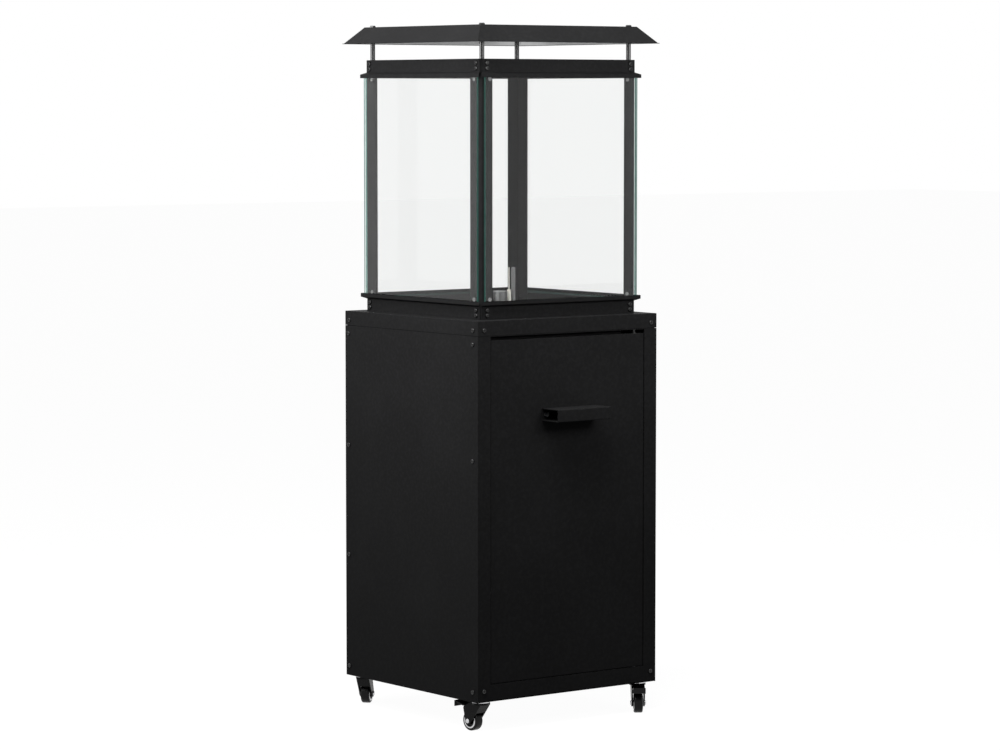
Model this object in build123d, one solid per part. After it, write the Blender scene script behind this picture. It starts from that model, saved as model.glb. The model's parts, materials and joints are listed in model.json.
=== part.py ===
from build123d import *
import math
import os

# Patio heater: a wheeled steel cabinet for a gas bottle, a glass lantern that holds the
# burner, and a flat-topped roof with a reflector on four rods.
# Millimetres, +Z up, door towards -Y, origin on the floor under the cabinet's middle.

# Overall sizes
cabinet_width = 450.0
cabinet_depth = 450.0
cabinet_height = 748.5
caster_height = 61.5
lantern_width = 389.0
lantern_depth = 389.0
lantern_height = 508.0
roof_gap = 32.5
roof_height = 33.7
roof_width = 456.0
roof_depth = 456.0
roof_top_width = 391.2
roof_top_depth = 391.2

# Sheet thicknesses and fits
panel_sheet = 1.2
base_sheet = 2.0
lid_sheet = 1.5
rail_sheet = 1.5
post_sheet = 2.0
roof_sheet = 1.2
reflector_sheet = 0.8
floor_sheet = 1.5
lap_gap = 0.05
thread_gap = 0.05
running_gap = 0.1
hole_gap = 0.3

# Lid and the tabs behind its skirt
skirt_height = 29.0
skirt_gap = 0.8
lid_edge_radius = 1.2
tab_corner_gap = 3.0
skirt_screw_drop = 18.2
skirt_screw_inset = 15.0

# Panels and front frame
frame_bottom_gap = 3.0
return_depth = 30.0
stile_width = 30.0
jamb_depth = 34.0
base_flange_height = 30.0
side_screw_front_inset = 16.0
side_screw_rear_inset = 12.5
side_screw_bottom = 20.3
side_screw_low = 250.0
side_screw_mid = 475.0
side_screw_top = 703.0
frame_screw_inset = 14.0
frame_screw_height = 22.5
vent_slots = 6
vent_slot_length = 130.0
vent_slot_width = 6.0
vent_pitch = 14.0
vent_column_offset = 95.0
vent_low_height = 95.0
vent_high_height = 500.0

# Door
door_gap = 1.5
door_bottom_gap = 1.5
door_bottom = 35.5
door_top = 709.5
door_recess = 1.0
door_sheet = 1.2
door_return = 16.0
door_edge_radius = 0.8
stop_gap = 1.2
stop_overlap = 7.0
hinge_inset = 20.0
hinge_setback = 7.0
hinge_pin_radius = 3.0
hinge_pin_grip = 8.0
hinge_pin_head_radius = 4.6
hinge_pin_head_height = 2.0
bush_wall = 1.2
bush_flange_radius = 5.4
bush_flange_height = 1.2
hinge_swing_room = 2.5
catch_length = 40.0
catch_width = 22.0
catch_depth = 14.0
catch_gap = 0.3
strike_length = 30.0
strike_width = 20.0
strike_leg = 10.0

# Handle
handle_length = 133.0
handle_height = 24.5
handle_depth = 52.0
handle_sheet = 1.5
handle_radius = 1.8
handle_level = 559.0
handle_bolt_inset = 9.5
handle_bolt_head_radius = 5.2
handle_bolt_head_height = 5.0
handle_bolt_radius = 2.5
handle_bolt_grip = 8.0
handle_nut_radius = 4.6
handle_nut_height = 4.0

# Screws: pan head with a cross recess
screw_head_radius = 4.5
screw_head_height = 2.6
screw_head_round = 1.6
screw_shank_radius = 2.5
recess_length = 4.6
recess_width = 1.0
recess_depth = 1.2
panel_screw_length = 7.0
rail_screw_length = 6.0

# Lantern posts and rails
post_leg_x = 27.0
post_leg_y = 33.0
post_bend_radius = 4.0
rail_web_height = 25.0
rail_reach = 9.5
rail_rise = 4.0
rail_lip_height = 7.2
rail_corner_gap = 4.0
rail_screw_inset = 15.0
rail_screw_edge = 8.0
rail_screw_pitch = 10.6

# Glass and its pads
glass_thickness = 4.0
glass_inset = 3.5
pane_set_back = 5.0
glass_lift = 2.0
glass_arris = 0.4
pad_radius = 4.0
pad_thickness = 0.8
pad_inset = 22.0
pad_clear_of_lip = 3.0

# Lantern floor and burner
floor_clearance = 1.0
burner_radius = 13.0
burner_wall = 1.5
burner_rise = 30.0
burner_drop = 36.0
burner_flange_radius = 17.0
burner_flange_height = 2.0
burner_hole_gap = 1.0
air_port_count = 6
air_port_radius = 3.2
air_port_drop = 18.0
cap_height = 14.0
cap_wall = 1.2
cap_seat = 4.0
mesh_rows = 3
mesh_columns = 16
mesh_hole_radius = 0.9
mesh_row_pitch = 3.2
mesh_top_ring_radius = 6.5
mesh_top_holes = 8
injector_height = 14.0
injector_nozzle_radius = 3.0
injector_nozzle_height = 8.0
injector_bore_radius = 0.8

# Pilot group beside the burner
bracket_sheet = 1.5
bracket_length = 34.0
bracket_width = 24.0
bracket_height = 18.0
electrode_offset = 22.0
thermocouple_offset = 33.0
probe_radius = 4.0
probe_collar_radius = 4.7
probe_collar_height = 2.2
probe_collar_low = 26.0
probe_collar_high = 36.0
probe_top = 90.0
probe_tail = 20.0
ceramic_top = 45.0
wire_radius = 1.0

# Controls behind the door
control_setback = 74.0
control_drop = 70.0
control_plate_width = 200.0
control_plate_height = 100.0
control_plate_sheet = 2.0
control_flange = 24.0
valve_width = 40.0
valve_height = 34.0
valve_depth = 30.0
stem_radius = 4.0
stem_hole_gap = 0.3
knob_travel = 3.0
knob_socket = 12.0
knob_radius = 22.0
knob_depth = 18.0
knob_gap = 5.0
knob_grip_width = 7.0
knob_grip_height = 4.0
knob_flat = 3.0
knob_edge = 1.5
igniter_offset = 60.0
igniter_radius = 11.0
igniter_flange_radius = 14.0
igniter_flange_height = 3.0
igniter_body_length = 38.0
button_radius = 8.0
button_length = 16.0
button_out = 7.0
button_gap = 0.1
pipe_radius = 4.0
pipe_bend = 14.0
pipe_grip = 6.0
inlet_radius = 6.6
inlet_length = 14.0
inlet_collar_radius = 9.0
inlet_collar_height = 5.0
inlet_bore_radius = 3.0

# Roof and its rods
hem_width = 1.2
reflector_gap = 2.0
reflector_rise = 1.0
rod_inset = 10.7
rod_radius = 4.8
bolt_radius = 3.0
bolt_head_radius = 5.0
bolt_head_height = 4.0
cap_nut_radius = 6.4
cap_nut_hex_height = 2.0
cap_nut_dome_radius = 5.5
cap_nut_height = 3.4

# Casters
caster_inset = 26.0
caster_trail = 22.0
wheel_radius = 20.0
wheel_width = 18.0
wheel_edge_radius = 3.0
wheel_recess_radius = 10.5
wheel_recess_depth = 2.5
wheel_hub_radius = 6.5
wheel_side_gap = 0.3
fork_inner_half = 11.0
fork_leg = 2.5
fork_head_radius = 17.0
fork_head_height = 4.0
fork_front = 13.0
fork_rear = 15.0
fork_axle_boss = 7.5
fork_wheel_room = 2.0
fork_wall = 2.0
race_radius = 18.0
race_height = 3.0
race_gap = 0.3
kingpin_radius = 4.0
kingpin_head_radius = 6.5
kingpin_head_height = 2.5
stem_screw_radius = 5.0
stem_screw_rise = 14.0
stem_nut_radius = 9.0
stem_nut_height = 8.0
axle_radius = 3.0
axle_head_radius = 4.5
axle_head_height = 2.5
pedal_pivot_out = 31.0
pedal_pivot_height = 45.0
pedal_pin_radius = 2.0
pedal_boss_radius = 4.4
pedal_tip_out = 62.0
pedal_tip_height = 54.0
pedal_plate = 2.6
pedal_lip = 9.0
pedal_half_width = 12.5
front_left_angle = 97.0
front_right_angle = 235.0
back_left_angle = 41.0
back_right_angle = 60.0

# Levels and faces worked out from the sizes above
base_z = caster_height
lid_z = base_z + cabinet_height
ring_top_z = lid_z + lantern_height
eave_z = ring_top_z + roof_gap
roof_top_z = eave_z + roof_height
front_y = -cabinet_depth / 2
back_y = cabinet_depth / 2
right_x = cabinet_width / 2
panel_top_z = lid_z - skirt_height - skirt_gap
tab_set = lid_sheet + lap_gap
tab_top_z = lid_z - lid_sheet - lap_gap
frame_bottom_z = base_z + frame_bottom_gap
frame_half = right_x - panel_sheet - lap_gap
opening_half = frame_half - stile_width
door_half = opening_half - door_gap
door_bottom_z = base_z + door_bottom
door_top_z = base_z + door_top
shelf_z = door_bottom_z - door_bottom_gap
door_face_y = front_y + door_recess
door_back_y = door_face_y + door_return
stop_y = door_back_y + stop_gap
hinge_x = door_half - hinge_inset
hinge_y = door_face_y + hinge_setback
hinge_sweep = math.hypot(hinge_inset, max(hinge_setback, door_return - hinge_setback))
handle_z = base_z + handle_level
base_flange_half_x = right_x - 2 * (panel_sheet + lap_gap)
base_flange_half_y = back_y - 2 * (panel_sheet + lap_gap)
rail_height = rail_web_height + rail_rise + rail_lip_height
post_half_x = lantern_width / 2 - rail_sheet - lap_gap
post_half_y = lantern_depth / 2 - rail_sheet - lap_gap
rod_x = lantern_width / 2 - rod_inset
rod_y = lantern_depth / 2 - rod_inset
control_y = front_y + control_setback
control_z = lid_z - control_drop
wheel_z = wheel_radius
race_top_z = base_z
fork_top_z = race_top_z - race_height - race_gap
fork_outer_half = fork_inner_half + fork_leg

LEFT = (-1, 0, 0)
RIGHT = (1, 0, 0)
FRONT = (0, -1, 0)
BACK = (0, 1, 0)
UP = (0, 0, 1)


def block(x0, x1, y0, y1, z0, z1):
    """Box between two corners."""
    box = Box(abs(x1 - x0), abs(y1 - y0), abs(z1 - z0))
    return Pos((x0 + x1) / 2, (y0 + y1) / 2, (z0 + z1) / 2) * box


def pillar(x, y, z0, z1, radius):
    """Upright cylinder."""
    return Pos(x, y, (z0 + z1) / 2) * Cylinder(radius, z1 - z0)


def hexagon(x, y, z0, z1, radius):
    """Upright hexagonal prism, with its corners on the radius."""
    face = Pos(x, y, z0) * RegularPolygon(radius, 6)
    return extrude(face, z1 - z0)


def seat(x, y, z, outward):
    """Place of a fastener, whose head points outward."""
    return Plane(origin=(x, y, z), z_dir=outward).location


def bore(place, radius, depth):
    """Tool for a hole that starts just outside the seat and goes inward."""
    return place * Pos(0, 0, (screw_head_height - depth) / 2) * Cylinder(radius, depth + screw_head_height)


def bores(places, radius, depth):
    return [bore(place, radius, depth) for place in places]


def pan_screw(length):
    """Pan-head screw at the origin, head above the seat, shank below."""
    head = Pos(0, 0, screw_head_height / 2) * Cylinder(screw_head_radius, screw_head_height)
    head = fillet(head.edges().sort_by(Axis.Z)[-1], screw_head_round)
    slot = Pos(0, 0, screw_head_height) * Box(recess_length, recess_width, 2 * recess_depth)
    head = head - slot - Rot(0, 0, 90) * slot
    return head + Pos(0, 0, -length / 2) * Cylinder(screw_shank_radius, length)


def screws(places, length):
    master = pan_screw(length)
    return [place * master for place in places]


def group(solids):
    return Compound(children=list(solids))


def save(name, shape):
    export_step(shape, f"parts/{name}.step")


def side_places(side):
    """Screws of one side panel: three by the front edge, four by the rear one."""
    x = side * right_x
    outward = (side, 0, 0)
    front = front_y + side_screw_front_inset
    rear = back_y - side_screw_rear_inset
    front_levels = [side_screw_bottom, side_screw_mid, side_screw_top]
    rear_levels = [side_screw_bottom, side_screw_low, side_screw_mid, side_screw_top]
    places = [seat(x, front, base_z + level, outward) for level in front_levels]
    return places + [seat(x, rear, base_z + level, outward) for level in rear_levels]


def foot_places(outward):
    """Screws at the foot of the front frame or the back panel."""
    y = outward[1] * back_y
    z = base_z + frame_screw_height
    return [seat(side * (right_x - frame_screw_inset), y, z, outward) for side in (-1, 1)]


def skirt_places():
    """Two screws in each side of the lid's skirt."""
    z = lid_z - skirt_screw_drop
    along_x = right_x - skirt_screw_inset
    along_y = back_y - skirt_screw_inset
    places = []
    for side in (-1, 1):
        places.append(seat(side * along_x, front_y, z, FRONT))
        places.append(seat(side * along_x, back_y, z, BACK))
        places.append(seat(-right_x, side * along_y, z, LEFT))
        places.append(seat(right_x, side * along_y, z, RIGHT))
    return places


def corner_places(inset_x, inset_y, z):
    """The four corners of a rectangle, as plan points."""
    return [(i * inset_x, j * inset_y, z) for i in (-1, 1) for j in (-1, 1)]


# Cabinet

shank_hole = screw_shank_radius + thread_gap
hole_depth = 4 * panel_screw_length


def base_plate():
    """Floor tray with turned-up flanges and a hole for each caster stem."""
    tray = block(-base_flange_half_x, base_flange_half_x, -base_flange_half_y, base_flange_half_y,
                 base_z, base_z + base_flange_height)
    hollow_x = base_flange_half_x - base_sheet
    hollow_y = base_flange_half_y - base_sheet
    over_z = base_z + 2 * base_flange_height
    tray -= block(-hollow_x, hollow_x, -hollow_y, hollow_y, base_z + base_sheet, over_z)
    tray -= [pillar(x, y, z - base_sheet, z + 2 * base_sheet, stem_screw_radius + thread_gap)
             for x, y, z in corner_places(right_x - caster_inset, back_y - caster_inset, base_z)]
    fixings = side_places(-1) + side_places(1) + foot_places(FRONT) + foot_places(BACK)
    return tray - bores(fixings, shank_hole, hole_depth / 2)


def side_panel(side):
    """Flat side with a joggled tab behind the lid's skirt."""
    outer = side * right_x
    inner = side * (right_x - panel_sheet)
    tab_outer = side * (right_x - tab_set)
    tab_inner = side * (right_x - tab_set - panel_sheet)
    tab_half = back_y - tab_set - panel_sheet - tab_corner_gap
    step_half = back_y - return_depth - tab_corner_gap
    panel = block(outer, inner, front_y, back_y, base_z, panel_top_z)
    panel += block(outer, tab_inner, -step_half, step_half, panel_top_z - panel_sheet, panel_top_z)
    panel += block(tab_outer, tab_inner, -step_half, step_half, panel_top_z - panel_sheet, tab_top_z)
    panel += block(tab_outer, tab_inner, -tab_half, tab_half, panel_top_z + panel_sheet, tab_top_z)
    return panel - bores(side_places(side) + skirt_places(), shank_hole, panel_screw_length)


def folded_front(facing):
    """What front frame and back panel share: side returns and the tab under the lid."""
    face = facing * back_y
    inner = facing * (back_y - panel_sheet)
    deep = facing * (back_y - return_depth)
    tab_outer = facing * (back_y - tab_set)
    tab_inner = facing * (back_y - tab_set - panel_sheet)
    tab_half = frame_half - tab_corner_gap
    shell = block(-tab_half, tab_half, tab_outer, tab_inner, panel_top_z - panel_sheet, tab_top_z)
    shell += block(-tab_half, tab_half, face, tab_inner, panel_top_z - panel_sheet, panel_top_z)
    return_top_z = panel_top_z - panel_sheet - tab_corner_gap
    for side in (-1, 1):
        outer = side * frame_half
        shell += block(outer, side * (frame_half - panel_sheet), face, deep, frame_bottom_z, return_top_z)
        shell += block(outer, side * opening_half, face, inner, frame_bottom_z, panel_top_z)
    return shell


def front_frame():
    """Two stiles, a bottom rail and the deep stop above the door, folded from one sheet."""
    inner_y = front_y + panel_sheet
    frame = folded_front(-1)
    frame += block(-frame_half, frame_half, front_y, inner_y, frame_bottom_z, shelf_z)
    frame += block(-opening_half, opening_half, front_y, stop_y, shelf_z - panel_sheet, shelf_z)
    for side in (-1, 1):
        frame += block(side * opening_half, side * (opening_half + panel_sheet),
                       front_y, front_y + jamb_depth, shelf_z - panel_sheet, panel_top_z)
    stop_back = stop_y + panel_sheet
    notch_x = hinge_x - hinge_sweep - hinge_swing_room
    frame += block(-opening_half, opening_half, front_y + tab_set, stop_back,
                   panel_top_z - panel_sheet, panel_top_z)
    frame += block(-opening_half, notch_x, stop_y, stop_back, door_top_z - stop_overlap, panel_top_z)
    pin_hole = hinge_pin_radius + thread_gap
    frame -= pillar(hinge_x, hinge_y, shelf_z - 2 * panel_sheet, shelf_z + panel_sheet, pin_hole)
    frame -= pillar(hinge_x, hinge_y, panel_top_z - 2 * panel_sheet, panel_top_z + panel_sheet, pin_hole)
    fixings = side_places(-1) + side_places(1) + foot_places(FRONT) + skirt_places()
    return frame - bores(fixings, shank_hole, panel_screw_length)


def back_panel():
    """Closed back with two columns of ventilation slots, low and high."""
    inner_y = back_y - panel_sheet
    panel = folded_front(1)
    panel += block(-frame_half, frame_half, back_y, inner_y, frame_bottom_z, panel_top_z)
    slots = []
    slot = extrude(SlotOverall(vent_slot_length, vent_slot_width), panel_sheet * 2, both=True)
    for level in (vent_low_height, vent_high_height):
        for column in (-vent_column_offset, vent_column_offset):
            for row in range(vent_slots):
                z = base_z + level + row * vent_pitch
                slots.append(Pos(column, back_y, z) * Rot(90, 0, 0) * slot)
    panel -= slots
    fixings = side_places(-1) + side_places(1) + foot_places(BACK) + skirt_places()
    return panel - bores(fixings, shank_hole, panel_screw_length)


def top_lid():
    """Lid plate with a folded skirt, open where the burner, probes and post screws pass."""
    lid = block(-right_x, right_x, front_y, back_y, lid_z - skirt_height, lid_z)
    lid = fillet(lid.edges().group_by(Axis.Z)[-1], lid_edge_radius)
    hollow_x = right_x - lid_sheet
    hollow_y = back_y - lid_sheet
    lid -= block(-hollow_x, hollow_x, -hollow_y, hollow_y, lid_z - 2 * skirt_height, lid_z - lid_sheet)
    lid -= burner_openings(lid_z - 2 * lid_sheet, lid_z + lid_sheet)
    lid -= [pillar(x, y, z - 2 * lid_sheet, z + lid_sheet, screw_shank_radius + thread_gap)
            for x, y, z in corner_places(rod_x, rod_y, lid_z)]
    return lid - bores(skirt_places(), shank_hole, panel_screw_length)


def burner_openings(z0, z1):
    """Holes for the burner tube and the two probes, shared by lid and lantern floor."""
    holes = [pillar(0, 0, z0, z1, burner_radius + burner_hole_gap)]
    holes.append(pillar(electrode_offset, 0, z0, z1, probe_radius + hole_gap))
    holes.append(pillar(thermocouple_offset, 0, z0, z1, probe_radius + hole_gap))
    return holes


# Door

def door_panel():
    """Pan-folded door with pin bush holes near the hinge side and two handle bolt holes."""
    door = block(-door_half, door_half, door_face_y, door_back_y, door_bottom_z, door_top_z)
    door = fillet(door.edges().group_by(Axis.Y)[0], door_edge_radius)
    inner = door_half - door_sheet
    door -= block(-inner, inner, door_face_y + door_sheet, door_back_y + door_return,
                  door_bottom_z + door_sheet, door_top_z - door_sheet)
    bush_hole = hinge_pin_radius + running_gap + bush_wall + thread_gap
    for z in (door_bottom_z, door_top_z):
        door -= pillar(hinge_x, hinge_y, z - 2 * door_sheet, z + 2 * door_sheet, bush_hole)
    return door - bores(handle_places(), handle_bolt_radius + thread_gap, 4 * door_sheet)


def handle_places():
    """Seats of the handle bolts on the inside of the handle's back wall."""
    x = handle_length / 2 - handle_bolt_inset
    y = door_face_y - lap_gap - handle_sheet
    return [seat(side * x, y, handle_z, FRONT) for side in (-1, 1)]


def door_handle():
    """Folded box section, open at both ends."""
    x = handle_length / 2
    back = door_face_y - lap_gap
    top = handle_height / 2
    bar = block(-x, x, back - handle_depth, back, handle_z - top, handle_z + top)
    bar = fillet(bar.edges().filter_by(Axis.X), handle_radius)
    top -= handle_sheet
    bar -= block(-2 * x, 2 * x, back - handle_depth + handle_sheet, back - handle_sheet,
                 handle_z - top, handle_z + top)
    return bar - bores(handle_places(), handle_bolt_radius + thread_gap, 2 * handle_sheet)


def handle_bolts():
    """Hex bolt inside each end of the handle, with its nut behind the door's sheet."""
    length = handle_sheet + lap_gap + door_sheet + handle_bolt_grip
    bolt = hexagon(0, 0, 0, handle_bolt_head_height, handle_bolt_head_radius)
    bolt += pillar(0, 0, -length, 0, handle_bolt_radius)
    nut_top = -(handle_sheet + 2 * lap_gap + door_sheet)
    nut = hexagon(0, 0, nut_top - handle_nut_height, nut_top, handle_nut_radius)
    nut -= pillar(0, 0, -2 * length, 0, handle_bolt_radius + thread_gap)
    return group([place * part for place in handle_places() for part in (bolt, nut)])


def hinge_pins():
    """Headed pins held in the frame's bottom and top shelves."""
    low = pillar(hinge_x, hinge_y, shelf_z - panel_sheet, door_bottom_z + hinge_pin_grip, hinge_pin_radius)
    low_seat = shelf_z - panel_sheet
    low += pillar(hinge_x, hinge_y, low_seat - hinge_pin_head_height, low_seat, hinge_pin_head_radius)
    high = pillar(hinge_x, hinge_y, door_top_z - hinge_pin_grip, panel_top_z, hinge_pin_radius)
    high += pillar(hinge_x, hinge_y, panel_top_z, panel_top_z + hinge_pin_head_height, hinge_pin_head_radius)
    return group([low, high])


def hinge_bushes():
    """Flanged bushes in the door's bottom and top returns."""
    bore_radius = hinge_pin_radius + running_gap
    barrel_radius = bore_radius + bush_wall
    bushes = []
    for edge_z, inward in ((door_bottom_z, 1), (door_top_z, -1)):
        end_z = edge_z + inward * 2 * door_sheet
        flange_z = edge_z - inward * bush_flange_height
        bush = pillar(hinge_x, hinge_y, min(edge_z, end_z), max(edge_z, end_z), barrel_radius)
        bush += pillar(hinge_x, hinge_y, min(edge_z, flange_z), max(edge_z, flange_z), bush_flange_radius)
        reach = 2 * hinge_pin_grip
        bush -= pillar(hinge_x, hinge_y, edge_z - reach, edge_z + reach, bore_radius)
        bushes.append(bush)
    return group(bushes)


def catch_magnet():
    """Magnet housing on the left jamb, just behind the closed door."""
    x = -opening_half + lap_gap
    y = door_back_y + catch_gap
    half = catch_length / 2
    body = block(x, x + catch_width, y, y + catch_depth, handle_z - half, handle_z + half)
    return chamfer(body.edges().filter_by(Axis.Z), door_edge_radius)


def catch_strike():
    """Steel angle inside the door's free edge that the magnet holds."""
    x = -door_half + door_sheet + lap_gap
    low = handle_z - strike_length / 2
    high = handle_z + strike_length / 2
    plate = block(x, x + strike_width, door_back_y - door_sheet, door_back_y, low, high)
    return plate + block(x, x + door_sheet, door_back_y - strike_leg, door_back_y, low, high)


# Lantern

def rail_places(z_values):
    """Screws in every rail end, as seats on the rails' outer faces."""
    face_x = lantern_width / 2
    face_y = lantern_depth / 2
    along_x = face_x - rail_screw_inset
    along_y = face_y - rail_screw_inset
    places = []
    for z in z_values:
        for side in (-1, 1):
            places.append(seat(-face_x, side * along_y, z, LEFT))
            places.append(seat(face_x, side * along_y, z, RIGHT))
            places.append(seat(side * along_x, -face_y, z, FRONT))
            places.append(seat(side * along_x, face_y, z, BACK))
    return places


def rail_levels():
    """Heights of the screw rows: two in the base rails and two in the top rails."""
    low = lid_z + rail_screw_edge
    high = ring_top_z - rail_screw_edge
    return [low, low + rail_screw_pitch, high - rail_screw_pitch, high]


def corner_post(i, j):
    """Folded angle with a drilled gusset at its foot and its top."""
    x = i * post_half_x
    y = j * post_half_y
    x_end = i * (post_half_x - post_leg_x)
    y_end = j * (post_half_y - post_leg_y)
    post = block(x, x_end, y, y_end, lid_z, ring_top_z)
    post = fillet(post.edges().filter_by(Axis.Z).sort_by_distance((x, y, (lid_z + ring_top_z) / 2))[0],
                  post_bend_radius)
    post -= block(x - i * post_sheet, x_end - i * post_leg_x, y - j * post_sheet, y_end - j * post_leg_y,
                  lid_z + post_sheet, ring_top_z - post_sheet)
    for x_hole, y_hole, z in corner_places(rod_x, rod_y, lid_z):
        post -= pillar(x_hole, y_hole, z - post_sheet, z + 2 * post_sheet, screw_shank_radius + thread_gap)
        post -= pillar(x_hole, y_hole, ring_top_z - 2 * post_sheet, ring_top_z + post_sheet,
                       bolt_radius + thread_gap)
    return post - bores(rail_places(rail_levels()), shank_hole, rail_screw_length)


def rail_slope():
    """Rise per millimetre of the ledge, and the ledge sheet's thickness measured upright."""
    slope = rail_rise / rail_reach
    return slope, rail_sheet * math.hypot(1, slope)


def rail(face_half, along_half):
    """Base rail on the -X side: web, outward ledge and lip, with mitred ends."""
    slope, upright = rail_slope()
    inner_low = rail_web_height - rail_sheet * slope + upright
    inner_high = rail_web_height + (rail_reach - rail_sheet) * slope + upright
    outline = [
        (0, 0),
        (0, rail_web_height),
        (-rail_reach, rail_web_height + rail_rise),
        (-rail_reach, rail_height),
        (rail_sheet - rail_reach, rail_height),
        (rail_sheet - rail_reach, inner_high),
        (rail_sheet, inner_low),
        (rail_sheet, 0),
    ]
    points = [(-face_half + x, 0, lid_z + z) for x, z in outline]
    section = make_face(Polyline(*points, close=True))
    length = along_half + rail_reach
    bar = extrude(section, amount=length, dir=(0, 1, 0), both=True)
    inside = 2 * rail_sheet
    outside = 2 * rail_reach
    end = along_half - rail_corner_gap
    plan = [
        (inside - face_half, inside - end),
        (inside - face_half, end - inside),
        (-outside - face_half, end + outside),
        (-outside - face_half, -end - outside),
    ]
    mitre = extrude(Pos(0, 0, lid_z - rail_height) * make_face(Polyline(*plan, close=True)), 3 * rail_height)
    return bar & mitre


def lantern_rails():
    """Four base rails and four top rails; the top ones are the base ones turned over."""
    left = rail(lantern_width / 2, lantern_depth / 2)
    front = Rot(0, 0, 90) * rail(lantern_depth / 2, lantern_width / 2)
    low = [left, mirror(left, about=Plane.YZ), front, mirror(front, about=Plane.XZ)]
    middle = Plane.XY.offset((lid_z + ring_top_z) / 2)
    high = [mirror(part, about=middle) for part in low]
    fixings = bores(rail_places(rail_levels()), shank_hole, rail_screw_length)
    return group([part - fixings for part in low + high])


def lantern_screws():
    """Screws of the rails, and one that holds each post's foot to the lid."""
    feet = [seat(x, y, z, UP) for x, y, z in corner_places(rod_x, rod_y, lid_z + post_sheet)]
    return group(screws(rail_places(rail_levels()), rail_screw_length) + screws(feet, panel_screw_length))


def pane(face_half, along_half):
    """Pane on the -X side: it stands in the base rail's ledge, behind the lip."""
    slope, upright = rail_slope()
    inner = face_half - rail_sheet + pad_thickness + lap_gap
    outer = inner + glass_thickness
    rest = rail_web_height + (outer - face_half) * slope + upright + lap_gap
    half = along_half - glass_inset
    glass = block(-outer, -inner, -half, half, lid_z + rest, ring_top_z - rest - glass_lift)
    return chamfer(glass.edges(), glass_arris)


def panes():
    """Left and front panes are set back from the corner that they share."""
    left = pane(lantern_width / 2, lantern_depth / 2)
    front = Rot(0, 0, 90) * pane(lantern_depth / 2, lantern_width / 2)
    return {
        "glass_left": Pos(0, pane_set_back, 0) * left,
        "glass_right": mirror(left, about=Plane.YZ),
        "glass_front": Pos(pane_set_back, 0, 0) * front,
        "glass_back": mirror(front, about=Plane.XZ),
    }


def glass_pads():
    """Small round pads between the posts and the panes, just clear of the rails' lips."""
    pad = Pos(0, 0, pad_thickness / 2) * Cylinder(pad_radius, pad_thickness)
    levels = [lid_z + rail_height + pad_clear_of_lip, ring_top_z - rail_height - pad_clear_of_lip]
    along_x = lantern_width / 2 - pad_inset
    along_y = lantern_depth / 2 - pad_inset
    places = []
    for z in levels:
        for side in (-1, 1):
            places.append(seat(-post_half_x, side * along_y, z, LEFT))
            places.append(seat(post_half_x, side * along_y, z, RIGHT))
            places.append(seat(side * along_x, -post_half_y, z, FRONT))
            places.append(seat(side * along_x, post_half_y, z, BACK))
    return group([place * pad for place in places])


def lantern_floor():
    """Plate on the lid inside the rails, cut out round the post feet."""
    x = post_half_x - post_sheet
    y = post_half_y - post_sheet
    plate = block(-x, x, -y, y, lid_z, lid_z + floor_sheet)
    foot_x = post_half_x - post_leg_x - floor_clearance
    foot_y = post_half_y - post_leg_y - floor_clearance
    under_z = lid_z - floor_sheet
    over_z = lid_z + 2 * floor_sheet
    for i in (-1, 1):
        for j in (-1, 1):
            plate -= block(i * foot_x, i * 2 * x, j * foot_y, j * 2 * y, under_z, over_z)
    return plate - burner_openings(under_z, over_z)


# Burner and pilot

floor_top_z = lid_z + floor_sheet
burner_top_z = floor_top_z + burner_rise
burner_foot_z = lid_z - burner_drop
bracket_top_z = floor_top_z + bracket_height


def burner_tube():
    """Tube with a flange on the lantern floor and air ports under the lid."""
    tube = pillar(0, 0, burner_foot_z, burner_top_z, burner_radius)
    tube += pillar(0, 0, floor_top_z, floor_top_z + burner_flange_height, burner_flange_radius)
    tube -= pillar(0, 0, burner_foot_z - burner_wall, burner_top_z + burner_wall, burner_radius - burner_wall)
    port_z = lid_z - air_port_drop
    port = Pos(burner_radius, 0, port_z) * Rot(0, 90, 0) * Cylinder(air_port_radius, burner_radius)
    ports = [Rot(0, 0, 360 * n / air_port_count) * port for n in range(air_port_count)]
    return tube - ports


def burner_cap():
    """Cap over the tube, with rows of small flame holes round it and on top."""
    inner = burner_radius + thread_gap
    outer = inner + cap_wall
    foot_z = burner_top_z - cap_seat
    top_z = foot_z + cap_height + cap_wall
    cap = pillar(0, 0, foot_z, top_z, outer)
    cap = fillet(cap.edges().sort_by(Axis.Z)[-1], cap_wall)
    cap -= pillar(0, 0, foot_z - cap_wall, top_z - cap_wall, inner)
    holes = []
    for row in range(mesh_rows):
        z = burner_top_z + mesh_row_pitch * (row + 0.5)
        for n in range(mesh_columns):
            turn = Rot(0, 0, 360 * (n + 0.5 * (row % 2)) / mesh_columns)
            holes.append(turn * Pos(outer, 0, z) * Rot(0, 90, 0) * Cylinder(mesh_hole_radius, 4 * cap_wall))
    top_hole = pillar(mesh_top_ring_radius, 0, top_z - 2 * cap_wall, top_z + cap_wall, mesh_hole_radius)
    holes += [Rot(0, 0, 360 * n / mesh_top_holes) * top_hole for n in range(mesh_top_holes)]
    return cap - holes


def gas_injector():
    """Brass plug in the foot of the burner tube, with its nozzle pointing up."""
    fit = burner_radius - burner_wall - thread_gap
    plug = pillar(0, 0, burner_foot_z, burner_foot_z + burner_wall, fit)
    plug += hexagon(0, 0, burner_foot_z - injector_height, burner_foot_z, burner_radius)
    plug += pillar(0, 0, burner_foot_z, burner_foot_z + injector_nozzle_height, injector_nozzle_radius)
    plug -= pillar(0, 0, burner_foot_z - 2 * injector_height, burner_foot_z - injector_height + pipe_grip,
                   pipe_radius + thread_gap)
    jet_top = burner_foot_z + 2 * injector_nozzle_height
    return plug - pillar(0, 0, burner_foot_z - injector_height, jet_top, injector_bore_radius)


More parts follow.
